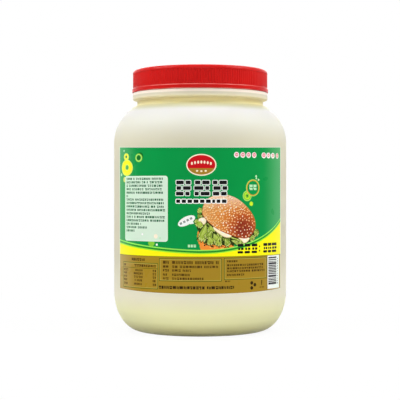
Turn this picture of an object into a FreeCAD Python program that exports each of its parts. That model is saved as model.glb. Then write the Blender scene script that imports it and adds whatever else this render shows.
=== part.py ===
import FreeCAD, Part
import math
import os

os.makedirs("parts", exist_ok=True)

# A wide-mouth three litre mayonnaise jar with its screw lid on. Millimetres, +Z up.
# The origin is the centre of the base, and the middle of the label faces -Y.
# The jar is shut, so it is one solid with its contents.

# Body of the jar
jar_radius = 73.3  # outside of the straight wall
wall_height = 124.8  # straight wall, from the heel up to the shoulder
heel_width = 22.4  # how far the round heel comes in at the base
heel_height = 33.9  # how far up the wall the heel reaches
shoulder_radius = 35.9
stand_width = 6.0  # flat ring that the jar stands on
base_hollow = 3.0  # how far the middle of the base is raised

# Neck, the ring below the lid, and the mouth that the lid covers
neck_radius = 53.5
neck_height = 4.1
neck_fillet = 1.2
ring_reach = 3.8  # how far the ring stands out of the neck
ring_height = 6.3
ring_under_rounding = 1.7
ring_top_rounding = 0.5
mouth_step = 0.8  # how far the mouth stands out of the neck
mouth_height = 16.8
mouth_chamfer = 0.8

# Lid
lid_clearance = 0.3  # between the mouth and the inside of the lid
lid_gap = 0.2  # between the ring and the lower edge of the lid
lid_wall = 2.1  # behind the grooves between the ribs
lid_plate = 2.7  # thickness of the top at its edge
lid_corner = 3.2
rim_drop = 0.7  # how far the smooth rim reaches below the inside of the top
recess_margin = 7.0  # from the side of the lid to the sunk middle of its top
recess_depth = 0.8
recess_slope = 1.6
band_height = 3.4
band_step = 0.6  # how far the bottom band stands out of the ribs
band_under_rounding = 0.4
band_top_rounding = 0.8
rib_count = 160
rib_depth = 0.5
rib_tip_width = 0.9
rib_foot_width = 1.6
rib_foot_gap = 0.8  # smooth strip between the band and the ribs
strip_step = 0.1  # how far that strip stands out of the grooves
rim_step = 0.1  # how far the smooth rim stands out of the ribs

# Label
label_width = 166.6  # measured round the wall
label_thickness = 0.25
label_foot_margin = 2.6  # from the heel to the label
label_head_margin = 5.2  # from the label to the shoulder

# Heights and radii that follow from these sizes
stand_radius = jar_radius - heel_width
wall_top = heel_height + wall_height
shoulder_centre = jar_radius - shoulder_radius
shoulder_rise = math.sqrt(shoulder_radius**2 - (neck_radius - shoulder_centre) ** 2)
ring_bottom = wall_top + shoulder_rise + neck_height
ring_radius = neck_radius + ring_reach
ring_top = ring_bottom + ring_height
mouth_radius = neck_radius + mouth_step
mouth_top = ring_top + mouth_height

lid_bottom = ring_top + lid_gap
lid_top = mouth_top + lid_plate
lid_bore = mouth_radius + lid_clearance
groove_radius = lid_bore + lid_wall
rib_radius = groove_radius + rib_depth
strip_radius = groove_radius + strip_step
rim_radius = rib_radius + rim_step
band_radius = rib_radius + band_step
band_top = lid_bottom + band_height
rib_bottom = band_top + rib_foot_gap
rib_top = mouth_top - rim_drop

up = FreeCAD.Vector(0, 0, 1)
base_centre = FreeCAD.Vector(0, 0, 0)


def at(radius, height):
    return FreeCAD.Vector(radius, 0, height)


class Outline:
    """Half of a turned shape, drawn from point to point in the XZ plane."""

    def __init__(self, radius, height):
        self.first = at(radius, height)
        self.last = self.first
        self.edges = []

    def add(self, curve, end):
        self.edges.append(curve.toShape())
        self.last = end

    def line(self, radius, height):
        end = at(radius, height)
        self.add(Part.LineSegment(self.last, end), end)

    def arc(self, radius, height, centre):
        """A round arc about centre, the shorter way."""
        end = at(radius, height)
        middle = (self.last - centre) + (end - centre)
        middle.normalize()
        middle.multiply((end - centre).Length)
        self.add(Part.Arc(self.last, centre + middle, end), end)

    def quarter(self, radius, height, corner):
        """A quarter of an ellipse that touches both lines through corner."""
        end = at(radius, height)
        curve = Part.BezierCurve()
        curve.setPoles([self.last, corner, end])
        curve.setWeight(2, math.sqrt(0.5))
        self.add(curve, end)

    def turned(self, angle=360):
        self.line(self.first.x, self.first.z)
        face = Part.Face(Part.Wire(self.edges))
        return face.revolve(base_centre, up, angle)


def make_jar():
    hollow_edge = stand_radius - stand_width
    hollow_radius = (hollow_edge**2 + base_hollow**2) / (2 * base_hollow)
    fillet_across = neck_radius + neck_fillet
    fillet_reach = shoulder_radius + neck_fillet
    fillet_rise = math.sqrt(fillet_reach**2 - (fillet_across - shoulder_centre) ** 2)
    fillet_centre = at(fillet_across, wall_top + fillet_rise)
    fillet_share = shoulder_radius / fillet_reach
    fillet_radius = shoulder_centre + (fillet_across - shoulder_centre) * fillet_share
    fillet_height = wall_top + fillet_rise * fillet_share

    side = Outline(0, base_hollow)
    side.arc(hollow_edge, 0, at(0, base_hollow - hollow_radius))
    side.line(stand_radius, 0)
    side.quarter(jar_radius, heel_height, at(jar_radius, 0))
    side.line(jar_radius, wall_top)
    side.arc(fillet_radius, fillet_height, at(shoulder_centre, wall_top))
    side.arc(neck_radius, fillet_centre.z, fillet_centre)
    side.line(neck_radius, ring_bottom)

    under = ring_under_rounding
    side.line(ring_radius - under, ring_bottom)
    side.arc(ring_radius, ring_bottom + under, at(ring_radius - under, ring_bottom + under))
    over = ring_top_rounding
    side.line(ring_radius, ring_top - over)
    side.arc(ring_radius - over, ring_top, at(ring_radius - over, ring_top - over))

    side.line(mouth_radius, ring_top)
    side.line(mouth_radius, mouth_top - mouth_chamfer)
    side.line(mouth_radius - mouth_chamfer, mouth_top)
    side.line(0, mouth_top)
    return side.turned()


def make_lid_foot():
    """The band round the lower edge, and the smooth strip above it."""
    side = Outline(lid_bore, lid_bottom)
    under = band_under_rounding
    side.line(band_radius - under, lid_bottom)
    side.arc(band_radius, lid_bottom + under, at(band_radius - under, lid_bottom + under))
    over = band_top_rounding
    side.line(band_radius, band_top - over)
    side.arc(band_radius - over, band_top, at(band_radius - over, band_top - over))
    side.line(strip_radius, band_top)
    side.line(strip_radius, rib_bottom)
    side.line(lid_bore, rib_bottom)
    return side.turned()


def make_lid_ribs():
    """The grip: upright ribs with sloping sides, all the way round."""

    def across(angle, radius, offset):
        turn = angle + offset / radius
        return FreeCAD.Vector(radius * math.cos(turn), radius * math.sin(turn), rib_bottom)

    corners = []
    for rib in range(rib_count):
        angle = 2 * math.pi * rib / rib_count
        corners.append(across(angle, groove_radius, -rib_foot_width / 2))
        corners.append(across(angle, rib_radius, -rib_tip_width / 2))
        corners.append(across(angle, rib_radius, rib_tip_width / 2))
        corners.append(across(angle, groove_radius, rib_foot_width / 2))
    outside = Part.makePolygon(corners + corners[:1])
    inside = Part.Wire(Part.makeCircle(lid_bore, FreeCAD.Vector(0, 0, rib_bottom), up))
    inside.reverse()
    return Part.Face([outside, inside]).extrude(up * (rib_top - rib_bottom))


def make_lid_top():
    """The smooth rim with its round corner, and the plate with its sunk middle."""
    corner = min(lid_corner, lid_top - rib_top)
    recess_radius = rim_radius - recess_margin
    side = Outline(lid_bore, rib_top)
    side.line(rim_radius, rib_top)
    if corner < lid_top - rib_top:
        side.line(rim_radius, lid_top - corner)
    side.arc(rim_radius - corner, lid_top, at(rim_radius - corner, lid_top - corner))
    side.line(recess_radius, lid_top)
    side.line(recess_radius - recess_slope, lid_top - recess_depth)
    side.line(0, lid_top - recess_depth)
    side.line(0, mouth_top)
    side.line(lid_bore, mouth_top)
    return side.turned()


def make_lid():
    lid = make_lid_foot().fuse([make_lid_ribs(), make_lid_top()])
    return lid.removeSplitter().Solids[0]


def make_label():
    """A thin sheet that lies on the straight wall."""
    angle = math.degrees(label_width / jar_radius)
    low = heel_height + label_foot_margin
    high = wall_top - label_head_margin
    sheet = Outline(jar_radius, low)
    sheet.line(jar_radius + label_thickness, low)
    sheet.line(jar_radius + label_thickness, high)
    sheet.line(jar_radius, high)
    label = sheet.turned(angle)
    label.rotate(base_centre, up, -90 - angle / 2)
    return label


pieces = {"jar": make_jar(), "lid": make_lid(), "label": make_label()}
for name, solid in pieces.items():
    solid.exportStep("parts/" + name + ".step")
    box = solid.BoundBox
    print(name, "valid", solid.isValid(), "solids", len(solid.Solids), "faces", len(solid.Faces))
    print("  volume", round(solid.Volume), "from", round(box.ZMin, 2), "to", round(box.ZMax, 2))
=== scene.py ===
import math
import random

import bpy
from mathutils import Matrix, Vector, geometry


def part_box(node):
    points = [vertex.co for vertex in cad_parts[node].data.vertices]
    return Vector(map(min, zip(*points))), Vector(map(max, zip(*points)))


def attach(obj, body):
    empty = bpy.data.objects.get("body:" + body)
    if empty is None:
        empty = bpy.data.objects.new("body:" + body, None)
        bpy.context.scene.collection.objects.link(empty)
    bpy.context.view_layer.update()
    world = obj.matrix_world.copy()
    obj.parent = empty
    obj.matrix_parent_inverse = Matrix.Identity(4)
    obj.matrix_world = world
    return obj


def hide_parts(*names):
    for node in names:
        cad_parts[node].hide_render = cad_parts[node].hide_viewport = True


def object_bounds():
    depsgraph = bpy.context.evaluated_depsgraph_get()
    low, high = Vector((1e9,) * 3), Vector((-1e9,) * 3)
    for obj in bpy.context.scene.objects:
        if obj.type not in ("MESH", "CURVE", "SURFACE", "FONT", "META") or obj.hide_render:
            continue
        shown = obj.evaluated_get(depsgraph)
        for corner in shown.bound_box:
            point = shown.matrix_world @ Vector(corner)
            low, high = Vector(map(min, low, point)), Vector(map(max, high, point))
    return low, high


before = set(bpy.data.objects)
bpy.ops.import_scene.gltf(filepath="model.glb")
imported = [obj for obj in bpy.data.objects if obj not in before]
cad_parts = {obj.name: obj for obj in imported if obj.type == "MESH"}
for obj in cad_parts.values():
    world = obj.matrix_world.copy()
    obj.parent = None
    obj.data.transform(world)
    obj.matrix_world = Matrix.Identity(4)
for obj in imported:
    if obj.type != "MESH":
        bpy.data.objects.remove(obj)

mm = 0.001
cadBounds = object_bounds()
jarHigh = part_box("jar")[1]
lidLow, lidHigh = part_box("lid")
labelLow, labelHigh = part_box("label")


def arcPoints(centre, reach, start, end, steps):
    # points on a part of an ellipse, as radius and height, with angles in degrees up from outwards
    points = []
    for step in range(steps + 1):
        angle = math.radians(start + (end - start) * step / steps)
        points.append((centre[0] + reach[0] * math.cos(angle), centre[1] + reach[1] * math.sin(angle)))
    return points


def circle(across, up, steps):
    angles = [2 * math.pi * step / steps for step in range(steps)]
    return [(across * math.cos(angle), up * math.sin(angle)) for angle in angles]


def evenSteps(start, end, steps):
    # the places between the two ends
    return [start + (end - start) * step / steps for step in range(1, steps)]


def sidesOf(corners):
    # the two ends of each side of a closed outline
    return list(zip(corners, corners[1:] + corners[:1]))


def headingAt(path, index):
    before, after = path[max(0, index - 1)], path[min(len(path) - 1, index + 1)]
    return Vector((after[0] - before[0], after[1] - before[1])).normalized()


def easeStep(value, low, high):
    share = min(1, max(0, (value - low) / (high - low)))
    return share * share * (3 - 2 * share)


def addObject(name, data):
    thing = bpy.data.objects.new(name, data)
    bpy.context.collection.objects.link(thing)
    return thing


def finishMesh(name, vertices, faces, materials, materialOf=None):
    mesh = bpy.data.meshes.new(name)
    mesh.from_pydata(vertices, [], faces)
    for material in materials:
        mesh.materials.append(material)
    if materialOf:
        mesh.polygons.foreach_set("material_index", materialOf)
    mesh.shade_smooth()
    mesh.update()
    return addObject(name, mesh)


def turnedMesh(name, rows, angles, place, material):
    # rows run from axis to axis, and place(row, angle) gives a radius and a height; both ends are one point
    def corner(row, angle):
        radius, height = place(row, angle)
        return (radius * math.cos(angle), radius * math.sin(angle), height)

    vertices, faces = [corner(rows[0], 0)], []
    between = rows[1:-1]
    for row in between:
        vertices.extend(corner(row, angle) for angle in angles)
    vertices.append(corner(rows[-1], 0))
    count, top = len(angles), len(vertices) - 1
    last = top - count
    for column in range(count):
        beside = (column + 1) % count
        faces.append((0, 1 + beside, 1 + column))
        for row in range(len(between) - 1):
            low, high = 1 + row * count, 1 + (row + 1) * count
            faces.append((low + column, low + beside, high + beside, high + column))
        faces.append((top, last + column, last + beside))
    return finishMesh(name, vertices, faces, [material])


def swatch(red, green, blue):
    # a colour as a paint chart gives it, 0 to 255, turned into the linear values that shaders take
    def linear(value):
        value /= 255
        return value / 12.92 if value <= 0.04045 else ((value + 0.055) / 1.055) ** 2.4
    return (linear(red), linear(green), linear(blue), 1)


def addNode(tree, kind, values, **settings):
    # each value is a socket to link from or a plain value, by the name or number of its own socket;
    # the node's outputs come back
    node = tree.nodes.new("ShaderNode" + kind)
    for name, setting in settings.items():
        setattr(node, name, setting)
    for title, value in values.items():
        if isinstance(value, bpy.types.NodeSocket):
            tree.links.new(value, node.inputs[title])
        else:
            node.inputs[title].default_value = value
    return node.outputs


def newGroup(name, inputs, outputs):
    # a node group of plain numbers, with a value for each input; its own ends come back as socket lists
    group = bpy.data.node_groups.new(name, "ShaderNodeTree")
    for title, value in inputs.items():
        socket = group.interface.new_socket(title, in_out="INPUT", socket_type="NodeSocketFloat")
        socket.default_value = value
    for title in outputs:
        group.interface.new_socket(title, in_out="OUTPUT", socket_type="NodeSocketFloat")
    return group, group.nodes.new("NodeGroupInput").outputs, group.nodes.new("NodeGroupOutput").inputs


def newMaterial(name, **values):
    material = bpy.data.materials.new(name)
    material.use_nodes = True
    tree = material.node_tree
    shader = tree.nodes["Principled BSDF"]
    for title, value in values.items():
        shader.inputs[title.replace("_", " ")].default_value = value
    return material, tree, shader


def objectPlace(tree):
    # the spot on the piece, in metres
    return addNode(tree, "TexCoord", {})["Object"]


def splitPlace(tree, place):
    return addNode(tree, "SeparateXYZ", {"Vector": place})


def reachFrom(tree, place, spot):
    return addNode(tree, "VectorMath", {0: place, 1: spot}, operation="DISTANCE")["Value"]


def noiseNode(tree, place, scale, detail=2, roughness=0.5):
    values = {"Vector": place, "Scale": scale, "Detail": detail, "Roughness": roughness}
    return addNode(tree, "TexNoise", values)["Fac"]


def rampNode(tree, factor, stops):
    ramp = tree.nodes.new("ShaderNodeValToRGB")
    while len(ramp.color_ramp.elements) < len(stops):
        ramp.color_ramp.elements.new(1)
    for element, (position, colour) in zip(ramp.color_ramp.elements, stops):
        element.position = position
        element.color = colour
    tree.links.new(factor, ramp.inputs["Fac"])
    return ramp.outputs["Color"]


def toneRamp(tree, factor, stops):
    # each stop is a position and the levels of its colour
    return rampNode(tree, factor, [(stop[0], swatch(*stop[1:])) for stop in stops])


def rangeNode(tree, value, fromLow, fromHigh, toLow, toHigh, kind="LINEAR"):
    values = {"Value": value, "From Min": fromLow, "From Max": fromHigh, "To Min": toLow, "To Max": toHigh}
    return addNode(tree, "MapRange", values, interpolation_type=kind)["Result"]


def mathNode(tree, operation, *values):
    return addNode(tree, "Math", dict(enumerate(values)), operation=operation)["Value"]


def mixNode(tree, factor, first, second):
    # the mix node's colours go in at sockets 6 and 7, and come out at 2
    return addNode(tree, "Mix", {0: factor, 6: first, 7: second}, data_type="RGBA")[2]


def bumpNode(tree, height, shader, strength, distance):
    values = {"Height": height, "Strength": strength, "Distance": distance}
    tree.links.new(addNode(tree, "Bump", values)["Normal"], shader.inputs["Normal"])


def makeMouldedSkin():
    # what moulded plastic shows close up: a fine peel, soft clouds of tone and a few rubbed spots
    details = {"Peel": 3, "Cloud": 2, "Rub": 8}
    scales = {"Peel Scale": 900, "Cloud Scale": 18, "Rub Scale": 60}
    group, source, result = newGroup("mouldedSkin", scales, details)
    place = objectPlace(group)
    for title, detail in details.items():
        value = noiseNode(group, place, source[title + " Scale"], detail)
        if title == "Rub":
            value = rangeNode(group, value, 0.62, 0.78, 0, 1)
        group.links.new(value, result[title])
    return group


mouldedSkin = makeMouldedSkin()


# the jar, blow-moulded in cream plastic

jar = {
    "baseHollow": 3 * mm, "standWidth": 6 * mm,
    "heelWidth": 22.4 * mm, "heelHeight": 33.9 * mm,
    "wallHeight": 124.8 * mm, "shoulderRadius": 35.9 * mm,
    "neckRadius": 53.5 * mm, "neckFillet": 1.2 * mm,
    "ringReach": 3.8 * mm, "ringHeight": 6.3 * mm, "ringUnder": 1.7 * mm, "ringOver": 0.5 * mm,
    "mouthStep": 0.8 * mm, "mouthEdge": 0.8 * mm,
    "lidGap": 0.2 * mm,  # from the ring to the lid
    "seamHeight": 0.12 * mm, "seamWidth": 0.35 * mm, "waveDepth": 0.07 * mm,
    "columns": 288,
}
wallRadius = jarHigh.x
wallTop = jar["heelHeight"] + jar["wallHeight"]
ringTop = lidLow.z - jar["lidGap"]
ringBottom = ringTop - jar["ringHeight"]


def jarOutline():
    standRadius = wallRadius - jar["heelWidth"]
    hollowEdge = standRadius - jar["standWidth"]
    points = [(0, jar["baseHollow"])]
    for radius in evenSteps(0, hollowEdge, 12):
        points.append((radius, jar["baseHollow"] * (1 - (radius / hollowEdge) ** 2)))
    points += [(hollowEdge, 0), (hollowEdge + 1 * mm, 0), (standRadius - 1 * mm, 0)]
    points += arcPoints((standRadius, jar["heelHeight"]), (jar["heelWidth"], jar["heelHeight"]), -90, 0, 28)
    points += [(wallRadius, height) for height in evenSteps(jar["heelHeight"], wallTop, 16)]

    # the shoulder's arc runs into a small hollow arc at the foot of the neck
    centre = wallRadius - jar["shoulderRadius"]
    reach = jar["shoulderRadius"] + jar["neckFillet"]
    filletCentre = jar["neckRadius"] + jar["neckFillet"]
    turn = math.degrees(math.acos((filletCentre - centre) / reach))
    filletHeight = wallTop + reach * math.sin(math.radians(turn))
    points += arcPoints((centre, wallTop), (jar["shoulderRadius"],) * 2, 0, turn, 24)
    points += arcPoints((filletCentre, filletHeight), (jar["neckFillet"],) * 2, 180 + turn, 180, 5)[1:]

    ringRadius = jar["neckRadius"] + jar["ringReach"]
    under, over = jar["ringUnder"], jar["ringOver"]
    points += [(jar["neckRadius"], ringBottom - 0.4 * mm), (jar["neckRadius"] + 0.4 * mm, ringBottom)]
    points += arcPoints((ringRadius - under, ringBottom + under), (under,) * 2, -90, 0, 7)
    points += arcPoints((ringRadius - over, ringTop - over), (over,) * 2, 0, 90, 4)

    mouthRadius, mouthTop, edge = jar["neckRadius"] + jar["mouthStep"], jarHigh.z, jar["mouthEdge"]
    points += [(mouthRadius + 0.3 * mm, ringTop), (mouthRadius, ringTop + 0.3 * mm)]
    points += arcPoints((mouthRadius - edge, mouthTop - edge), (edge,) * 2, 0, 90, 4)
    points.append((0, mouthTop))
    return points


def makeJar(material):
    outline, rows = jarOutline(), []
    for index, (radius, height) in enumerate(outline):
        along = headingAt(outline, index)
        rows.append((radius, height, along.y, -along.x))

    angles = {2 * math.pi * column / jar["columns"] for column in range(jar["columns"])}
    for side in (0, math.pi):
        for step in (-3, -2, -1, 1, 2, 3):
            angles.add((side + step * jar["seamWidth"] / 2 / wallRadius) % (2 * math.pi))

    def place(row, angle):
        radius, height, outwards, upwards = row
        # the mould's two halves meet at the sides, in a fine raised line that fades at the standing ring
        offCentre = radius * abs(math.sin(angle))
        seam = jar["seamHeight"] * math.exp(-(offCentre / jar["seamWidth"]) ** 2)
        onRing = radius > wallRadius - jar["heelWidth"] - jar["standWidth"] - 2 * mm
        seam *= easeStep(height, 0.3 * mm, 3 * mm) if onRing else 0.6
        waves = math.sin(3 * angle + 40 * height) + math.sin(5 * angle - 65 * height + 1)
        sunk = jar["waveDepth"] * (0.5 + waves / 4) * easeStep(height, 2 * mm, 20 * mm)
        sunk *= 1 - easeStep(height, wallTop + 15 * mm, ringBottom)
        push = seam - sunk
        return radius + outwards * push, height + upwards * push

    return turnedMesh("jar", rows, sorted(angles), place, material)


def makeCreamPlastic():
    # milky plastic that shows the sauce behind it, yellower where it is thick: at the heel and the neck; its
    # tones by height also carry painted light and shade
    material, tree, shader = newMaterial(
        "creamPlastic", Roughness=0.5, IOR=1.5, Specular_IOR_Level=0.15,
        Subsurface_Weight=0.25, Subsurface_Scale=4 * mm, Subsurface_Radius=(1, 0.85, 0.5))
    height = rangeNode(tree, splitPlace(tree, objectPlace(tree))["Z"], 0, jarHigh.z, 0, 1)
    # tones by height, partly the plastic's own and partly painted light: painted shade darkens the very
    # bottom by the floor and the neck under the ring, the heel is painted paler for light thrown up off the
    # floor, and the shoulder and the ring's top edge are painted whiter as highlights
    tones = toneRamp(tree, height, [
        (0, 160, 156, 108), (0.03, 200, 197, 146), (0.055, 226, 225, 174), (0.09, 236, 235, 186),
        (0.15, 232, 227, 205), (0.3, 210, 205, 182), (0.62, 208, 203, 179), (0.72, 213, 208, 183),
        (0.8, 221, 221, 210), (0.845, 217, 217, 216), (0.851, 209, 211, 202), (0.858, 197, 198, 171),
        (0.868, 203, 198, 154), (0.876, 238, 228, 172), (0.886, 234, 217, 156), (0.898, 239, 229, 196),
        (0.907, 214, 207, 183), (0.9105, 216, 208, 186), (0.9116, 252, 238, 224),
        (0.921, 238, 224, 207),
    ])
    scales = {"Peel Scale": 700, "Cloud Scale": 16, "Rub Scale": 45}
    skin = addNode(tree, "Group", scales, node_tree=mouldedSkin)
    clouds = rangeNode(tree, skin["Cloud"], 0.3, 0.7, 0, 0.12)
    tree.links.new(mixNode(tree, clouds, tones, swatch(216, 208, 178)), shader.inputs["Base Color"])
    tree.links.new(rangeNode(tree, skin["Rub"], 0, 1, 0.48, 0.6), shader.inputs["Roughness"])
    bumpNode(tree, skin["Peel"], shader, 0.25, 0.05 * mm)
    return material


jarPiece = makeJar(makeCreamPlastic())
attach(jarPiece, "root")
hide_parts("jar")
print("jar", len(jarPiece.data.polygons))


# the lid, moulded in red plastic with fine upright ribs for the grip

lid = {
    "bore": 54.6 * mm, "grooveRadius": 56.8 * mm, "ribRadius": 57.2 * mm, "rimRadius": 57.3 * mm,
    "bandHeight": 3.4 * mm, "bandUnder": 0.4 * mm, "bandOver": 0.8 * mm,
    "stripStep": 0.1 * mm, "stripHeight": 0.8 * mm, "rimHeight": 3.4 * mm, "corner": 3.2 * mm,
    "recessMargin": 7 * mm, "recessDepth": 0.8 * mm, "recessSlope": 1.6 * mm,
    "gateRadius": 1.6 * mm, "gateHeight": 0.25 * mm,
    "ribs": 160, "ribTip": 0.3, "ribFoot": 0.9,  # shares of the way from rib to rib
}


def lidRows():
    # each row is the radius in a groove, the radius on a rib, and the height
    bore, groove, rib, rim = lid["bore"], lid["grooveRadius"], lid["ribRadius"], lid["rimRadius"]
    bandRadius, low, high = lidHigh.x, lidLow.z, lidHigh.z
    bandTop = low + lid["bandHeight"]
    strip, ribFoot, ribTop = groove + lid["stripStep"], bandTop + lid["stripHeight"], high - lid["rimHeight"]
    smooth = [(0, jarHigh.z), (bore - 2 * mm, jarHigh.z), (bore, jarHigh.z)]
    smooth += [(bore, low + 0.3 * mm), (bore + 0.3 * mm, low)]
    under, over = lid["bandUnder"], lid["bandOver"]
    smooth += arcPoints((bandRadius - under, low + under), (under,) * 2, -90, 0, 4)
    smooth += arcPoints((bandRadius - over, bandTop - over), (over,) * 2, 0, 90, 6)
    smooth += [(strip, bandTop + 0.1 * mm), (strip, ribFoot - 0.1 * mm)]
    rows = [(radius, radius, height) for radius, height in smooth]

    rows.append((strip, strip, ribFoot))
    for rise, share in ((0.12, 0.5), (0.3, 0.8), (0.6, 1)):
        rows.append((groove, strip + (rib - strip) * share, ribFoot + rise * mm))
    for height in evenSteps(ribFoot + 0.6 * mm, ribTop - 0.5 * mm, 6):
        rows.append((groove, rib, height))
    for turn in (0, 25, 50, 70, 90):
        angle = math.radians(turn)
        out = 1 - math.cos(angle)
        rows.append((groove + (rim - groove) * out, rib + (rim - rib) * out,
                     ribTop - 0.5 * mm * (1 - math.sin(angle))))

    corner = lid["corner"]
    recess = rim - lid["recessMargin"]
    floor = high - lid["recessDepth"]
    slope = lid["recessSlope"]
    smooth = arcPoints((rim - corner, high - corner), (corner,) * 2, 0, 90, 12)
    smooth += [(recess + 0.5 * mm, high), (recess, high - 0.08 * mm)]
    smooth += [(recess - slope / 2, (high + floor) / 2)]
    smooth += [(recess - slope, floor + 0.08 * mm), (recess - slope - 0.5 * mm, floor)]
    smooth += [(radius * mm, floor) for radius in (38, 26, 14, 5)]
    smooth.append((lid["gateRadius"] + 0.3 * mm, floor))
    smooth += [(lid["gateRadius"], floor + lid["gateHeight"]), (0, floor + lid["gateHeight"])]
    return rows + [(radius, radius, height) for radius, height in smooth]


def makeLid(material):
    pitch = 2 * math.pi / lid["ribs"]
    foot, tip = (1 - lid["ribFoot"]) / 2, (1 - lid["ribTip"]) / 2
    phases = (0, foot, (foot + tip) / 2, tip, 0.5, 1 - tip, 1 - (foot + tip) / 2, 1 - foot)
    angles = [pitch * (rib + phase) for rib in range(lid["ribs"]) for phase in phases]

    def place(row, angle):
        groove, rib, height = row
        phase = angle / pitch % 1
        share = easeStep(min(phase, 1 - phase), foot * 0.7, tip * 1.1)
        return groove + (rib - groove) * share, height

    return turnedMesh("lid", lidRows(), angles, place, material)


def makeRedPlastic():
    material, tree, shader = newMaterial(
        "redPlastic", Roughness=0.25, IOR=1.5, Specular_IOR_Level=0.08,
        Subsurface_Weight=0.05, Subsurface_Scale=1 * mm,
        Sheen_Weight=0.5, Sheen_Roughness=0.3, Sheen_Tint=(1, 0.07, 0.05, 1))
    scales = {"Peel Scale": 1100, "Cloud Scale": 30, "Rub Scale": 70}
    skin = addNode(tree, "Group", scales, node_tree=mouldedSkin)
    clouds = rangeNode(tree, skin["Cloud"], 0.3, 0.7, 0, 1)
    tone = mixNode(tree, clouds, swatch(204, 26, 22), swatch(196, 20, 18))
    tone = mixNode(tree, rangeNode(tree, skin["Rub"], 0, 1, 0, 0.15), tone, swatch(226, 70, 66))

    # painted highlights: the band's two edges and the corner of the top are painted paler, standing in for
    # the gloss that catches the lamps there
    place = objectPlace(tree)
    split = splitPlace(tree, place)
    height = rangeNode(tree, split["Z"], lidLow.z, lidHigh.z, 0, 1)
    edge = (lid["bandHeight"] - 0.1 * mm) / (lidHigh.z - lidLow.z)
    highlightStops = [(0, 0.8), (0.012, 0.6), (0.03, 0), (edge - 0.018, 0), (edge - 0.004, 0.8), (edge + 0.01, 0.8),
              (edge + 0.017, 0), (0.96, 0), (0.99, 0.12)]
    paintedHighlightBands = rampNode(tree, height, [(spot, (shade, shade, shade, 1)) for spot, shade in highlightStops])
    uneven = rangeNode(tree, noiseNode(tree, place, 75), 0.35, 0.6, 0.4, 1)
    # the painted highlight is full at the front and the back and faint at the sides
    highlightFrontBack = rangeNode(tree, mathNode(tree, "ABSOLUTE", split["Y"]), 28 * mm, 50 * mm, 0.15, 1)
    paintedHighlight = mathNode(tree, "MULTIPLY", mathNode(tree, "MULTIPLY", paintedHighlightBands, uneven), highlightFrontBack)
    # the painted highlight mixes the red towards pale pink
    tree.links.new(mixNode(tree, paintedHighlight, tone, swatch(254, 172, 162)), shader.inputs["Base Color"])
    tree.links.new(rangeNode(tree, skin["Rub"], 0, 1, 0.24, 0.42), shader.inputs["Roughness"])
    bumpNode(tree, skin["Peel"], shader, 0.2, 0.03 * mm)
    return material


lidPiece = makeLid(makeRedPlastic())
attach(lidPiece, "root")
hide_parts("lid")
print("lid", len(lidPiece.data.polygons))


# the label, a printed film bent round the front of the jar; its print is laid out flat in millimetres,
# across from the middle and up from just inside the lower edge, and each shape covers those before it

filmLow = -0.55  # the film's lower edge: the print's heights start a little above it
label = {
    "width": 166.6, "low": filmLow, "high": filmLow + (labelHigh.z - labelLow.z) / mm,
    "margin": 0.9, "edge": 0.35,  # of plain film at the two ends, and above and below
    "arc": 1.55, "arcDrop": 0.42,  # how far the film's edges rise to its ends, and how low they start
    "bends": 53, "goldTop": 29.05,
    "leftRise": 7, "rightRise": 25, "swooshLow": 31.05,
}
prints = []


def filmEdge(up, inset=0):
    # a line along the film's lower or upper edge, from left to right
    half = label["width"] / 2 - inset
    across = [-half] + [x for x in bendLines() if abs(x) < half] + [half]
    return [(x, up - label["arcDrop"] + label["arc"] * (2 * x / label["width"]) ** 2) for x in across]


def bendLines():
    # where the flat sheet bends round the jar
    return evenSteps(-label["width"] / 2, label["width"] / 2, label["bends"])


def turnsLeft(corners):
    # whether an outline runs counter-clockwise
    return sum(a[0] * b[1] - b[0] * a[1] for a, b in sidesOf(corners)) > 0


def draw(ink, points):
    # counter-clockwise, as the cutting-up of the sheet needs it
    prints.append((ink, points if turnsLeft(points) else points[::-1]))


def box(ink, left, low, right, high):
    draw(ink, [(left, low), (right, low), (right, high), (left, high)])


def turned(points, centre, degrees):
    cosine, sine = math.cos(math.radians(degrees)), math.sin(math.radians(degrees))
    return [(centre[0] + x * cosine - y * sine, centre[1] + x * sine + y * cosine) for x, y in points]


def oval(ink, centre, across, up, tilt=0, points=28):
    draw(ink, turned(circle(across, up, points), centre, tilt))


def discs(*rows):
    # each row is an ink, the centre, the reach across and up, and how many points go round
    for ink, centre, across, up, points in rows:
        oval(ink, centre, across, up, points=points)


def plate(ink, left, low, right, high, corner):
    points = []
    for x, y, start in ((right, high, 0), (left, high, 90), (left, low, 180), (right, low, 270)):
        inside = (x - corner if x == right else x + corner, y - corner if y == high else y + corner)
        points += arcPoints(inside, (corner, corner), start, start + 90, 5)
    draw(ink, points)


def frameBox(left, low, right, high):
    # a dark outline with a finer light one just inside it
    for ink, inset in (("frameDark", 0), ("frameLight", 0.65), ("gold", 1)):
        box(ink, left + inset, low + inset, right - inset, high - inset)


def smoothLoop(corners, steps=5):
    # a closed curve that runs smoothly through each of the points
    points = []
    for index in range(len(corners)):
        beside = [corners[(index + step) % len(corners)] for step in (-1, 0, 1, 2)]
        before, here, there, after = (Vector(corner) for corner in beside)
        for step in range(steps):
            t = step / steps
            bend = 2 * before - 5 * here + 4 * there - after
            swing = 3 * here - before - 3 * there + after
            points.append(tuple(here + 0.5 * t * (there - before + t * (bend + t * swing))))
    return points


def stroke(ink, path, widths):
    # a brush mark along a path, with a width for each of its points
    left, right = [], []
    for index, (x, y) in enumerate(path):
        along = headingAt(path, index) * widths[index] / 2
        left.append((x - along.y, y + along.x))
        right.append((x + along.y, y - along.x))
    draw(ink, right + left[::-1])


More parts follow.
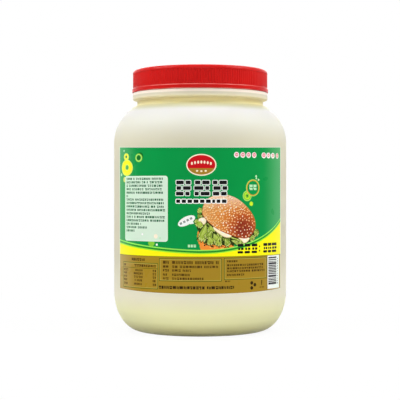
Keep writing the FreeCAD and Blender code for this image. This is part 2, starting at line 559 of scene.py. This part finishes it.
def wordRow(ink, left, low, right, high, chance, wide=1.9):
    # a line of print that says nothing: short marks of uneven width, some of them split in two
    here = left
    while here < right - 0.5:
        width = min(wide * chance.uniform(0.55, 1.2), right - here)
        kind = chance.random()
        drop = chance.uniform(0, 0.12) * (high - low)
        if kind < 0.3 and width > 1.2:
            box(ink, here, low + drop, here + width * 0.42, high)
            box(ink, here + width * 0.6, low, here + width, high - drop)
        elif kind < 0.6 and width > 1.2:
            cut = low + (high - low) * chance.uniform(0.4, 0.6)
            box(ink, here, cut + 0.16, here + width, high)
            box(ink, here + width * chance.uniform(0, 0.3), low, here + width, cut - 0.16)
        else:
            box(ink, here, low + drop, here + width, high)
        here += width + chance.uniform(0.3, 0.62)
        if chance.random() < 0.07:
            here += wide * 0.6


def swooshHeight(across):
    side = abs(across) / (label["width"] / 2)
    if across < 0:
        return label["swooshLow"] + label["leftRise"] * side ** 1.5
    return label["swooshLow"] + label["rightRise"] * side ** 2.15


def swooshBand(ink, low, high):
    # from a height above the yellow's edge up to another; None stands for the top of the gold
    reach = label["width"] / 2 - label["margin"]
    across = [reach * (step / 30 - 1) for step in range(61)]
    upper = [(x, swooshHeight(x) + high) for x in across]
    if low is None:
        lower = [(-reach, label["goldTop"]), (reach, label["goldTop"])]
    else:
        lower = [(x, swooshHeight(x) + low) for x in across]
    draw(ink, lower + upper[::-1])


def drawGrounds():
    draw("paper", filmEdge(label["low"]) + filmEdge(label["high"])[::-1])
    half, low = label["width"] / 2 - label["margin"], label["goldTop"]
    upper = filmEdge(label["high"] - label["edge"], label["margin"])
    draw("green", [(-half, low), (half, low)] + upper[::-1])


def drawLeftRings():
    discs(
        ("paleDot", (-74.4, 114), 0.9, 0.9, 12),
        ("ringEdge", (-70.8, 109), 3.9, 3.1, 28),
        ("yellow", (-70.8, 109), 3, 2.4, 28),
        ("ringEdge", (-70.8, 109), 2, 1.7, 18),
        ("darkGreen", (-70.8, 109.1), 1.2, 1.1, 14),
        ("ringEdge", (-70.1, 100.1), 8.5, 6.7, 40),
        ("yellow", (-70.1, 100.1), 7.6, 6, 40),
        ("yellowShade", (-69.4, 99.5), 6.4, 5, 36),
        ("yellow", (-70.3, 100.4), 6, 4.7, 36),
        ("ringEdge", (-69.7, 100.4), 3.1, 2.6, 22),
        ("ringGreen", (-69.6, 100.4), 2.2, 1.9, 18),
        ("darkGreen", (-52.7, 109.3), 3.5, 3.1, 28),
        ("lime", (-54.4, 108), 4, 3.5, 28),
        ("limeLight", (-54.4, 108), 3.6, 3.1, 28),
        ("ringGreen", (-54.4, 108), 2.6, 2.3, 20),
        ("darkGreen", (-54.4, 108), 2.1, 1.9, 18),
        ("paleDot", (-79, 94.5), 1.3, 1.3, 14),
        ("paleYellow", (-73.4, 90.5), 2.2, 2.2, 18),
    )


def drawPanel():
    oval("lime", (-41.2, 39.5), 3, 3)
    plate("panelEdge", -72.5, 40.65, -26.3, 93.3, 2.2)
    plate("panel", -71.9, 41.25, -26.9, 92.7, 1.9)
    discs(
        ("white", (-50.4, 46.3), 0.9, 0.9, 12),
        ("cream", (-37, 44.9), 1.8, 1.8, 18),
        ("paleDot", (-33.1, 43.5), 0.9, 0.9, 12),
        ("white", (-36, 38.2), 0.9, 0.9, 12),
    )
    chance = random.Random(11)
    shares = (0.95, 0.94, 0.94, 0.94, 0.95, 0.05, 0.97, 0.97, 0.98, 1, 0.66, 1, 1, 0.44, 0.59, 0.28)
    for row, share in enumerate(shares):
        middle = 91 - 2.8 * row
        wordRow("panelText", -70.3, middle - 0.95, -70.3 + 41.8 * share, middle + 0.85, chance)


def drawBadge():
    # a plain oval badge in red and gold, with two rows of studs
    across, up = centre = (0.95, 101.9)
    discs(("cream", centre, 12, 8.7, 44), ("red", centre, 11.1, 7.8, 44))
    draw("badgeGold", arcPoints(centre, (11.1, 7.8), 200, 340, 24))
    for step in range(-3, 4):
        oval("cream", (across + step * 2.5, up + 2.2 - 0.12 * step * step), 0.78, 1.25, points=12)
    for step in range(-1, 2):
        oval("cream", (across + step * 3.4, up - 5 + 0.2 * step * step), 0.95, 0.7, points=12)


def edgedBars(bars, edge, corner):
    # black bars with one shared white edge round them
    for left, low, right, high in bars:
        plate("white", left - edge, low - edge, right + edge, high + edge, corner + edge)
    for left, low, right, high in bars:
        plate("black", left, low, right, high, corner)


def drawTitle():
    # three blocks of bold bars, each in one white edge
    blocks = (
        (-19.4, -7.5, ((0, 0.58, 0.9), (0.5, 0.42, 0), (0.2, 0.6, 0))),
        (-4.7, 7.5, ((0.3, 0.36, 0), (0, 0.66, 0.4), (0.6, 0.46, 0))),
        (10.1, 21.8, ((0, 0.5, 0.5), (0.4, 0.6, 0), (0, 0.38, 0.3))),
    )
    foot, pitch, tall, halfGap = 77.6, 4.45, 2.95, 0.75  # of the rows, and between two bars
    for left, right, rows in blocks:
        bars = []
        for row, (leftInset, split, rightInset) in enumerate(rows):
            low = foot + row * pitch
            cut = left + (right - left) * split
            bars.append((left + leftInset, low, cut - halfGap, low + tall))
            bars.append((cut + halfGap, low, right - rightInset, low + tall))
        edgedBars(bars, 0.52, 0.45)


def drawWordBar():
    # a long row of short bars under the blocks
    chance = random.Random(5)
    bars, here = [], -19.2
    while here < 20.3:
        width = min(chance.uniform(2.2, 3.9), 21.6 - here)
        bars.append((here, 71.7, here + width, 74.4))
        here += width + 1.25
    edgedBars(bars, 0.65, 0.45)


def drawDiscs():
    chance = random.Random(3)
    near = [(across, 2.3) for across in (29.8, 35.4, 40.8, 46.4)]
    far = [(57, 2.7), (62.8, 2.7), (69, 2.7), (76, 2.5)]
    up, tall = 110, 2.35
    for across, wide in near + far:
        oval("white", (across, up), wide, tall, points=22)
        inner = chance.uniform(0.62, 0.84)
        oval("pink", (across, up + 0.2), wide * inner, tall * inner, points=18)
        box("white", across - 0.35 * wide, up, across + 0.35 * wide, up + 0.4)


def drawRightRing():
    discs(
        ("limeLight", (39.5, 77.3), 4.2, 4.3, 28),
        ("lime", (39.5, 77.3), 3.5, 3.6, 28),
        ("yellowGreen", (39.5, 77.3), 2.6, 2.7, 22),
        ("lime", (39.5, 77.3), 1.9, 2, 18),
        ("darkGreen", (39.5, 77.3), 0.8, 0.8, 12),
        ("limeLight", (45.2, 83.7), 6.8, 6.8, 40),
        ("orangeLine", (45.2, 83.7), 6.35, 6.35, 40),
        ("green", (45.2, 83.7), 5.65, 5.65, 40),
    )
    for left in (41.6, 45.6):
        box("paleDot", left, 84.3, left + 3.1, 86.3)
        box("paleDot", left + 0.5, 81.9, left + 3.1, 83.7)
        box("paleDot", left, 82.6, left + 0.5, 85)
    discs(
        ("yellowGreen", (43.4, 70.9), 1.75, 1.75, 18),
        ("paleDot", (48.4, 93), 0.95, 0.95, 12),
        ("paleDot", (48.6, 91.3), 0.8, 0.8, 12),
        ("paleDot", (50.9, 90.1), 0.9, 0.9, 12),
    )


def drawBubble():
    oval("white", (-10.9, 57.4), 7.5, 3.35, tilt=27, points=40)
    draw("white", [(-8.2, 54.8), (-6.1, 57.8), (-4.9, 55.3)])
    for step in range(4):
        place = (-15.3 + 2.7 * step, 55.3 + 1.35 * step)
        draw("bubbleGrey", turned([(-0.95, -0.85), (0.95, -0.85), (0.95, 0.9), (-0.95, 0.9)], place, 27))
    chance = random.Random(8)
    wordRow("paleDot", -9.7, 36.4, -1.7, 38.6, chance, wide=2.4)


def insideOf(point, outline):
    inside = False
    for (ax, ay), (bx, by) in sidesOf(outline):
        if (ay > point[1]) != (by > point[1]) and point[0] < (bx - ax) * (point[1] - ay) / (by - ay) + ax:
            inside = not inside
    return inside


def ruffled(corners, depth, pitch, chance, step=0.55):
    # a closed outline that swings out in uneven frills, as a leaf's edge does
    side = 1 if turnsLeft(corners) else -1
    points, walked, swing, size = [], 0, 0, 1
    for (ax, ay), (bx, by) in sidesOf(corners):
        length = math.hypot(bx - ax, by - ay)
        count = max(1, round(length / step))
        for index in range(count):
            t = index / count
            phase = (walked + t * length) / pitch
            if int(phase) != swing:
                swing, size = int(phase), chance.uniform(0.35, 1.3)
            push = depth * (abs(math.sin(math.pi * phase)) ** 0.7 - 0.35) * size
            push += chance.uniform(-0.12, 0.12) * depth
            points.append((ax + (bx - ax) * t + side * (by - ay) / length * push,
                           ay + (by - ay) * t - side * (bx - ax) / length * push))
        walked += length
    return points


burger = {
    "bun": ((1.4, 65.2), (4.8, 58.2), (14.8, 50.2), (30, 44.3), (40.4, 43.7), (47.4, 51.4),
            (46.4, 59.6), (39.6, 68.2), (29.3, 75.6), (17.6, 78.5), (5.8, 75)),
    "darkSpot": (36.2, 50.7),
    "seeds": 230, "seedSize": (0.86, 0.48), "seedGap": 1.6,
    # each leaf's base, heading, reach and spread, and how light it is
    "leaves": (
        ((3.2, 61.4), 186, 5.4, 60, 0.1), ((2.2, 64.4), 154, 4.6, 80, 0.8),
        ((47.4, 51), -58, 4.4, 75, 0.2), ((45.6, 49.8), -44, 6.4, 64, 0.5),
        ((40.2, 45.6), -30, 7.2, 60, 0.5), ((33, 43.6), -64, 6, 120, 0.4),
        ((25, 41.8), -16, 9.6, 40, 0.9), ((22.6, 46.4), -112, 6.2, 80, 0.1),
        ((23.4, 45.4), -22, 9.4, 38, 0.7), ((19.6, 43.4), -58, 7, 60, 0.3),
        ((17.8, 47), -118, 10, 46, 0.9), ((15.2, 50.2), -70, 4.8, 100, 0.5),
        ((5.8, 56.8), -60, 6.2, 80, 0.1), ((9, 55.4), -92, 7.6, 64, 0.9),
        ((10.6, 47.6), -62, 8.6, 64, 0.7), ((1.6, 57.6), -138, 6.4, 110, 0.9),
        ((4.8, 55.6), -104, 15.2, 40, 0.9), ((9.6, 50.2), -122, 8.6, 58, 0.5),
        ((6.8, 45.2), -66, 7.4, 74, 0.7), ((14.8, 44.4), -92, 7.2, 58, 0.9),
    ),
}


def drawLeaf(base, heading, reach, spread, light, chance):
    # a fan of leaf: pale along its frilled edge, with ribs that run out from the base and a dark crease
    def out(turn, share):
        angle = math.radians(heading + turn * spread / 2)
        return (base[0] + reach * share * math.cos(angle), base[1] + reach * share * math.sin(angle))

    steps = round(reach * math.radians(spread) / 0.45) + 6
    swing, frill = chance.random(), []
    for step in range(steps + 1):
        turn = 2 * step / steps - 1
        swing += 0.45 / 2.3 * chance.uniform(0.5, 1.6)
        frill.append((turn, 0.84 + 0.16 * abs(math.sin(math.pi * swing)) - 0.26 * turn ** 6))
    under, edge, inner, lit = "leafShadow", "leafLight", "leafDark", "leaf"
    if light > 0.25:
        under, edge, inner, lit = "leafEdge", "leafPale", "leaf", "leafLight"
    if light > 0.6:
        inner, lit = "leafLight", "leafLit"
    draw(under, [(base[0] - 0.2, base[1] + 0.2)] + [out(turn * 1.1, share * 1.07) for turn, share in frill])
    draw(edge, [base] + [out(turn, share) for turn, share in frill])
    draw(inner, [base] + [out(turn * 0.95, share * 0.92 - 0.03) for turn, share in frill])
    lean = chance.uniform(-0.35, 0.35)
    draw(lit, [out(lean, 0.25)] + [out(turn * 0.4 + lean, share * 0.74) for turn, share in frill])
    for turn in (-0.5, 0.3):
        turn += chance.uniform(-0.2, 0.2)
        stroke("leafPale", [out(turn * 0.3, 0.12), out(turn * 0.7, 0.45), out(turn, 0.8)], [0.45, 0.3, 0.1])
    for side in (-1, 1)[:chance.choice((1, 2))]:
        turn = side * chance.uniform(0.15, 0.75)
        start = chance.uniform(0.5, 0.75)
        crease = [out(turn, start), out(turn * 1.1, 0.88), out(turn * 1.2, 1.02)]
        stroke("leafShadow", crease, [0.1, 0.5, 0.9])


def drawLettuce(chance):
    leaf = [(-3, 57.5), (-2.6, 52), (1, 45), (3, 39.6), (9, 38.8), (16, 38.2), (24, 38.4), (33, 38.8),
            (42, 40.6), (47.4, 43.6), (48.6, 48), (46, 52), (34, 46), (20, 50), (6, 58), (1.5, 63.5),
            (-1, 61)]
    draw("leafShadow", ruffled(leaf, 0.7, 2.6, chance))
    for base, heading, reach, spread, light in burger["leaves"]:
        drawLeaf(base, heading, reach, spread, light, chance)
    # deep gaps where the leaves part
    for where, long, wide, tilt in (
            ((5.9, 53.6), 1.5, 0.8, -50), ((5.4, 42.6), 1, 0.6, 20), ((10.9, 48.2), 1.3, 0.7, -40),
            ((10.6, 40.2), 0.45, 1.3, 0), ((20.4, 43.9), 2.6, 0.55, -10), ((27, 42.6), 3, 0.35, -12),
            ((15.4, 41.4), 0.4, 1.2, 10), ((45.4, 46.8), 0.7, 1.5, 20), ((1.2, 56.2), 0.7, 0.4, 60)):
        oval("leafShadow", where, long, wide, tilt, points=10)


def drawPatty(chance):
    patty = [(-1.6, 49.5), (-2.3, 45.4), (-1.6, 41.3), (-0.2, 37.8), (0.8, 33), (6, 31.5), (28, 33.6),
             (27.4, 38), (12, 41), (3, 47)]
    draw("patty", ruffled(patty, 0.4, 2.9, chance))
    for step in range(76):
        where = (chance.uniform(-1.5, 27), chance.uniform(32.5, 47))
        if insideOf(where, patty):
            tones = ("pattyDark", "pattyLight", "pattyLight")
            if where[0] > 3 and where[1] > 37 - 0.05 * where[0]:
                tones = ("pattyDark", "bunShadow")  # in the shade of the leaves
            ink = chance.choice(tones)
            long, short = chance.uniform(0.6, 1.7), chance.uniform(0.3, 0.65)
            oval(ink, where, long, short, chance.uniform(-40, 20), points=9)


def drawSauce(chance):
    left = ((-1.4, 58.2), (0.8, 59.9), (4.2, 59.6), (4.6, 57), (2.9, 54.9), (0.9, 57))
    middle = ((10.5, 51.6), (12.8, 53.4), (17, 50.4), (21.4, 48.2), (25.2, 46.4), (24.2, 44.6),
              (20, 44.9), (16, 47))
    right = ((31.6, 43.9), (36, 43.6), (41.4, 43.6), (39.6, 40.9), (36.4, 39.9), (34.4, 41.9))
    for blob in (left, middle, right):
        draw("sauceShade", ruffled(smoothLoop([(x, y - 0.55) for x, y in blob]), 0.2, 2.2, chance))
        draw("sauce", ruffled(smoothLoop(blob), 0.2, 2.2, chance))
    gleams = (((2, 58.2), 1.1), ((13.6, 51.2), 1.3), ((18.2, 48.3), 1.5), ((22.4, 46.4), 1.1),
              ((37, 42.4), 1.5))
    for where, long in gleams:
        oval("white", where, long, 0.5, -28, points=12)


def drawBun(chance):
    bun = smoothLoop(burger["bun"])
    middle = Vector((24, 61))

    def shrunk(share, lift=0):
        return [(middle.x + (x - middle.x) * share, middle.y + lift + (y - middle.y) * share) for x, y in bun]

    draw("bunShadow", [(x - 0.1, y - 1.1) for x, y in bun])
    drawSauce(chance)
    draw("bunRim", bun)
    draw("bun", shrunk(0.985, 0.15))
    inner, dark = shrunk(0.955), Vector(burger["darkSpot"])
    sown = []
    for step in range(burger["seeds"] * 14):
        if len(sown) == burger["seeds"]:
            break
        where = Vector((chance.uniform(0.5, 48), chance.uniform(42, 79)))
        deep = max(0, 1 - (where - dark).length / 15)  # fewer and smaller on the dark side
        gap = burger["seedGap"] * (1 + 0.6 * deep)
        if any((where - other).length < gap for other in sown) or not insideOf(where, inner):
            continue
        sown.append(where)
        long, short = (size * (1 - 0.3 * deep) * chance.uniform(0.75, 1.2) for size in burger["seedSize"])
        tilt = chance.uniform(0, 180)
        oval("seedShadow", (where.x + 0.15, where.y - 0.25), long, short, tilt, points=8)
        oval(chance.choice(("seed", "seedDull", "seedDull", "seedLight")), where, long, short, tilt, points=8)


def drawBurger():
    chance = random.Random(21)
    drawPatty(chance)
    drawLettuce(chance)
    drawBun(chance)


def drawWeight():
    # bold marks on the yellow, in the place of the contents
    for left, right in ((30.7, 36), (37.1, 42.4), (43.9, 49.6), (56.4, 61.3), (62, 66.8), (67.5, 74.8)):
        middle = (left + right) / 2
        plate("black", left, 36.6, right, 38.9, 0.5)
        plate("black", left + 0.5, 33.9, middle - 0.3, 35.8, 0.4)
        plate("black", middle + 0.4, 33.9, right, 35.8, 0.4)
        plate("black", left, 31.2, right - 0.4, 33.1, 0.5)
    for up in (33, 36.4):
        oval("black", (52, up), 0.7, 0.7, points=10)


def brownLine(left, right, middle, tall, wide, chance):
    # a line of print at a middle height, and tall to both sides of it
    wordRow("brown", left, middle - tall, right, middle + tall, chance, wide)


def drawTable(chance):
    wordRow("brown", -63, 24.6, -47.8, 26.8, chance)
    frameBox(-75.8, 2.5, -34.9, 23.4)
    box("frameDark", -75.4, 18.7, -35.3, 19.1)
    wordRow("brown", -74.5, 20, -71.5, 22, chance)
    wordRow("brown", -59.5, 19.9, -36.4, 22, chance, wide=1.7)
    for middle in (17, 14.4, 11.7, 8.9, 5.9):
        for left, right, spare in ((-74.6, -67, 3), (-39.9, -36.3, 1)):
            brownLine(left, right - chance.uniform(0, spare), middle, 0.9, 1.5, chance)
        brownLine(-61 + chance.uniform(0, 3.5), -50, middle, 0.9, 1.5, chance)


def drawFrames(chance):
    # two frames with lines of print, and what stands below them
    frameBox(-33.9, 9.2, 17.4, 27.5)
    for middle, end, tall in ((24.3, 14.7, 1.25), (20.9, 14.3, 0.95), (17.9, -7.3, 0.95),
                              (14.5, -7.3, 0.95), (11.4, 3.1, 0.95)):
        brownLine(-30.5, -25.4, middle, tall, 2.1 * tall, chance)
        brownLine(-22.6, end, middle, tall, 2.1 * tall, chance)
    frameBox(19.1, 10.4, 60.2, 27.9)
    for middle, end in ((25.1, 31.2), (22, 56.4), (19.5, 56), (17.2, 58), (14.3, 36.6)):
        brownLine(21.7, end, middle, 0.85, 1.7, chance)
    wordRow("blackBrown", -34.1, 3.1, 27.6, 5.5, chance, wide=2.5)
    wordRow("brown", 20, 8.6, 24.2, 9.8, chance, wide=1.4)
    for centre in ((43.9, 7.3), (47.1, 5.7), (43.9, 3.3)):
        oval("blackBrown", centre, 1.45, 1.45, points=14)
    stroke("blackBrown", [(54.6, 9.2), (54.5, 7.6), (54.3, 5)], [0.9, 1, 0.6])
    wordRow("brown", 52.3, 3, 57, 3.9, chance, wide=1)


def drawStripes(chance):
    # plain stripes for the tills
    box("frameDark", 60.7, 0.4, 61.2, label["goldTop"])
    box("white", 61.6, 1.5, 79.7, 28.5)
    up = 4.9
    while up < 26.4:
        thick = chance.choice((0.6, 0.9, 0.9, 1.3, 1.7))
        box("stripe", 62.7, up, 74.6, up + thick)
        up += thick + chance.choice((0.4, 0.45, 0.65))
    for up in range(5, 27, 2):
        box("stripeGrey", 76, up, 77.2, up + chance.uniform(0.8, 1.4))


def drawGoldFoot():
    half, top = label["width"] / 2 - label["margin"], label["goldTop"]
    draw("gold", filmEdge(label["low"] + label["edge"], label["margin"]) + [(half, top), (-half, top)])
    box("frameDark", -half, top - 0.35, half, top)
    chance = random.Random(17)
    drawTable(chance)
    drawFrames(chance)
    drawStripes(chance)


drawGrounds()
drawLeftRings()
drawBurger()
swooshBand("swooshPale", 2.4, 3.35)
swooshBand("swooshGreen", 0.85, 2.45)
swooshBand("swooshLime", 0, 0.9)
swooshBand("yellow", None, 0)
drawGoldFoot()
drawPanel()
drawBadge()
drawTitle()
drawWordBar()
drawDiscs()
drawRightRing()
drawBubble()
drawWeight()
print("print", len(prints))


def makePrintGrain():
    # the film's print close up: ink that lies a little unevenly, with faint dots of its screen
    scales = {"Cloud Scale": 40, "Dot Scale": 900}
    group, source, result = newGroup("printGrain", scales, ("Cloud", "Dots", "Wrinkle", "PaintedGlare"))
    place = objectPlace(group)
    group.links.new(noiseNode(group, place, source["Cloud Scale"], 3), result["Cloud"])
    values = {"Vector": place, "Scale": source["Dot Scale"]}
    dots = addNode(group, "TexVoronoi", values)
    group.links.new(rangeNode(group, dots["Distance"], 0.2, 0.6, 1, 0), result["Dots"])
    group.links.new(noiseNode(group, place, 28), result["Wrinkle"])

    # painted reflection: the film is painted paler towards its two ends, standing in for the lamps' glare on
    # its gloss there
    side = mathNode(group, "ABSOLUTE", splitPlace(group, place)["X"])
    paintedGlare = rangeNode(group, side, 50 * mm, labelHigh.x, 0, 0.15, "SMOOTHSTEP")
    group.links.new(paintedGlare, result["PaintedGlare"])
    return group


printGrain = makePrintGrain()
inks = {  # levels of red, green and blue, 0 to 255
    "paper": (240, 238, 228), "white": (250, 250, 248), "black": (16, 16, 15), "green": (0, 148, 68),
    "darkGreen": (8, 112, 40), "ringGreen": (70, 165, 70), "swooshPale": (152, 240, 92),
    "swooshGreen": (36, 150, 46), "swooshLime": (160, 240, 56), "lime": (135, 205, 60),
    "limeLight": (172, 232, 106), "yellowGreen": (205, 242, 46), "yellow": (255, 246, 16),
    "yellowShade": (255, 234, 26), "paleYellow": (225, 225, 110), "ringEdge": (224, 248, 92),
    "paleDot": (190, 235, 190), "panelEdge": (230, 246, 230), "panel": (214, 235, 215),
    "panelText": (56, 110, 74), "cream": (252, 240, 214), "red": (205, 16, 26),
    "badgeGold": (170, 128, 40), "pink": (238, 138, 148), "orangeLine": (222, 150, 40),
    "bubbleGrey": (140, 150, 145), "gold": (165, 132, 36), "frameDark": (90, 100, 16),
    "frameLight": (198, 178, 84), "brown": (80, 56, 8), "blackBrown": (48, 34, 4), "stripe": (42, 42, 54),
    "stripeGrey": (130, 130, 142), "patty": (246, 146, 56), "pattyDark": (186, 88, 22),
    "pattyLight": (255, 184, 92), "leafShadow": (40, 54, 14), "leafEdge": (70, 94, 28),
    "leafDark": (92, 120, 38), "leaf": (128, 156, 48), "leafLight": (152, 180, 60),
    "leafLit": (176, 198, 78), "leafPale": (208, 218, 124), "sauce": (254, 242, 212),
    "sauceShade": (222, 200, 140), "bunShadow": (48, 26, 12), "bunRim": (176, 90, 40),
    "bun": (222, 140, 66), "seed": (251, 218, 160), "seedLight": (255, 243, 214),
    "seedDull": (243, 196, 132), "seedShadow": (170, 84, 34),
}

# the painted glare at the film's ends: what an ink fades to, and how much, where that isn't the pale green of
# most of them
palePaintedGlare, warmPaintedGlare = (178, 255, 196), (255, 246, 200)
paintedGlares = {
    "yellow": ((255, 255, 150), 0.4), "gold": (warmPaintedGlare, 1), "frameLight": (warmPaintedGlare, 0.6),
    "frameDark": (warmPaintedGlare, 0.4), "brown": (warmPaintedGlare, 0.3), "blackBrown": (warmPaintedGlare, 0.3),
    "stripe": (warmPaintedGlare, 0.3), "stripeGrey": (warmPaintedGlare, 0.3), "black": (warmPaintedGlare, 0.2),
}


bendRate = 1 / (jarHigh.x / mm)  # how far the film turns round the jar in each millimetre


def filmHeight(up):
    return labelLow.z + (up - label["low"]) * mm


def onJar(across, up, radius):
    # from the flat print to its place round the jar
    angle = across * bendRate
    return (radius * math.sin(angle), -radius * math.cos(angle), filmHeight(up))


def bunTone(tree):
    # baked crust, pale where the light falls at the upper left and dark at the lower right
    place = objectPlace(tree)
    reach = reachFrom(tree, place, onJar(*burger["darkSpot"], jarHigh.x))
    share = rangeNode(tree, reach, 0, 42 * mm, 0, 1)
    ramp = toneRamp(tree, share, [
        (0, 126, 36, 24), (0.14, 142, 44, 28), (0.27, 188, 82, 34), (0.42, 216, 124, 52),
        (0.62, 231, 155, 77), (0.8, 236, 174, 98), (1, 241, 197, 134),
    ])
    patches = rangeNode(tree, noiseNode(tree, place, 170, 4, 0.6), 0.45, 0.7, 0, 0.5)
    crust = mixNode(tree, patches, ramp, swatch(206, 98, 44))
    gleam = rangeNode(tree, splitPlace(tree, place)["Z"], filmHeight(67), filmHeight(78), 0, 0.9)
    return mixNode(tree, gleam, crust, swatch(246, 218, 190))


def makeInk(name):
    material, tree, shader = newMaterial(name + "Ink", Roughness=0.28, IOR=1.5, Specular_IOR_Level=0.09)
    grain = addNode(tree, "Group", {"Cloud Scale": 45, "Dot Scale": 850}, node_tree=printGrain)
    colour = swatch(*inks[name])
    darker = tuple(value * 0.9 for value in colour[:3]) + (1,)
    if name == "bun":
        tone = bunTone(tree)
    else:
        tone = mixNode(tree, rangeNode(tree, grain["Cloud"], 0.3, 0.8, 0, 0.22), colour, darker)
    tone = mixNode(tree, rangeNode(tree, grain["Dots"], 0, 1, 0, 0.1), tone, darker)
    # painted reflection: each ink turns paler towards the film's ends
    paintedGlare, strength = paintedGlares.get(name, (palePaintedGlare, 1))
    tone = mixNode(tree, rangeNode(tree, grain["PaintedGlare"], 0, 1, 0, strength), tone, swatch(*paintedGlare))
    tree.links.new(tone, shader.inputs["Base Color"])
    tree.links.new(rangeNode(tree, grain["Cloud"], 0, 1, 0.24, 0.34), shader.inputs["Roughness"])
    bumpNode(tree, grain["Wrinkle"], shader, 0.15, 0.2 * mm)
    return material


def makeLabel():
    points, faces, edges = [], [], []
    for ink, outline in prints:
        faces.append(list(range(len(points), len(points) + len(outline))))
        points += [Vector(corner) for corner in outline]
    for ends in list(zip(filmEdge(label["low"]), filmEdge(label["high"])))[1:-1]:
        edges.append((len(points), len(points) + 1))
        points += [Vector(end) for end in ends]
    cut = geometry.delaunay_2d_cdt(points, edges, faces, 1, 1e-4, True)
    flat, pieces, shapesOf = cut[0], cut[2], cut[5]
    kept = [(piece, max(shapes)) for piece, shapes in zip(pieces, shapesOf) if 0 in shapes]

    names = list(inks)
    count = len(flat)
    inner, outer = jarHigh.x, -labelLow.y
    vertices = [onJar(spot.x, spot.y, radius) for radius in (outer, inner) for spot in flat]
    faces = [tuple(piece) for piece, shape in kept]
    materialOf = [names.index(prints[shape][0]) for piece, shape in kept]
    backs = [tuple(count + corner for corner in reversed(piece)) for piece in faces]

    # the cut edge of the film closes the sheet all round
    used = {side for piece in faces for side in sidesOf(piece)}
    rims = sorted((b, a, count + a, count + b) for a, b in used if (b, a) not in used)
    materialOf += [names.index("paper")] * (len(backs) + len(rims))
    materials = [makeInk(name) for name in names]
    piece = finishMesh("label", vertices, faces + backs + rims, materials, materialOf)

    normals = []
    for polygon in piece.data.polygons:
        for corner in polygon.vertices:
            if polygon.index >= len(faces) + len(backs):
                normals.append(tuple(polygon.normal))
            else:
                angle = flat[corner % count].x * bendRate
                way = 1 if polygon.index < len(faces) else -1
                normals.append((way * math.sin(angle), -way * math.cos(angle), 0))
    piece.data.normals_split_custom_set(normals)
    return piece


labelPiece = makeLabel()
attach(labelPiece, "root")
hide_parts("label")
print("label", len(labelPiece.data.polygons))


# the studio

studio = {
    # each lamp's power, its width and height, and its place
    "lamps": {
        "topSoftbox": (2.4, (1.5, 0.9), (0, -0.15, 1.2)),
        "leftSoftbox": (2.15, (0.3, 0.3), (-0.42, -0.1, 0.6)),
        "rightSoftbox": (2.15, (0.3, 0.3), (0.42, -0.1, 0.6)),
        "frontSoftbox": (5.2, (1, 0.6), (0, -1.3, 0.75)),
        "backSoftbox": (5.8, (1, 0.6), (0, 1.3, 0.75)),
    },
    "worldStrength": 0.3, "floorRadius": 12, "floorGap": 0.2 * mm, "floorBright": 0.94,
    "shadeFrom": 0.12, "shadeTo": 0.4,  # where the floor's shade round the jar starts to fade, and ends
    "lens": 108, "sensor": 36, "camera": (-0.00013, -1.0246, 0.119), "cameraDip": 0.4775,
}


def seenDirectly(tree):
    # 1 for rays that show the background: straight ones, mirrored ones and ones through glass
    rays = addNode(tree, "LightPath", {})
    seen = mathNode(tree, "MAXIMUM", rays["Is Camera Ray"], rays["Is Glossy Ray"])
    return mathNode(tree, "MAXIMUM", seen, rays["Is Transmission Ray"])


def makeFloor():
    material, tree, shader = newMaterial(
        "floor", Base_Color=(0.92, 0.92, 0.91, 1), Roughness=0.9, Specular_IOR_Level=0)
    # the glow leaves room for a shadow close to the jar, and none further out
    reach = reachFrom(tree, objectPlace(tree), (0, 0, 0))
    bright = rangeNode(tree, reach, studio["shadeFrom"], studio["shadeTo"], studio["floorBright"], 1)
    seen = mathNode(tree, "MULTIPLY", seenDirectly(tree), bright)
    glow = addNode(tree, "Emission", {})["Emission"]
    mix = addNode(tree, "MixShader", {0: seen, 1: shader.outputs["BSDF"], 2: glow})
    tree.links.new(mix["Shader"], tree.nodes["Material Output"].inputs["Surface"])

    edge = circle(studio["floorRadius"], studio["floorRadius"], 48)
    floor = finishMesh("floor", [(x, y, 0) for x, y in edge], [tuple(range(len(edge)))], [material])
    floor.location.z = cadBounds[0].z - studio["floorGap"]


def addLamp(name, power, size, place):
    lamp = bpy.data.lights.new(name, "AREA")
    lamp.shape = "RECTANGLE"
    lamp.energy = power
    lamp.size, lamp.size_y = size
    softbox = addObject(name, lamp)
    softbox.location = place
    aim = Vector((0, 0, cadBounds[1].z / 2)) - Vector(place)
    softbox.rotation_euler = aim.to_track_quat("-Z", "Y").to_euler()


def lightWorld():
    world = bpy.data.worlds.new("studio")
    bpy.context.scene.world = world
    world.use_nodes = True
    tree = world.node_tree
    shade = tree.nodes["Background"]
    shade.inputs["Color"].default_value = (1, 1, 1, 1)
    strength = rangeNode(tree, seenDirectly(tree), 0, 1, studio["worldStrength"], 1)
    tree.links.new(strength, shade.inputs["Strength"])


def addCamera():
    lens = bpy.data.cameras.new("camera")
    lens.lens = studio["lens"]
    lens.sensor_width = studio["sensor"]
    camera = addObject("camera", lens)
    camera.location = studio["camera"]
    camera.rotation_euler = (math.radians(90 - studio["cameraDip"]), 0, 0)
    bpy.context.scene.camera = camera


makeFloor()
for name, (power, size, place) in studio["lamps"].items():
    addLamp(name, power, size, place)
lightWorld()
addCamera()
bpy.context.scene.view_settings.view_transform = "Standard"
print("studio")
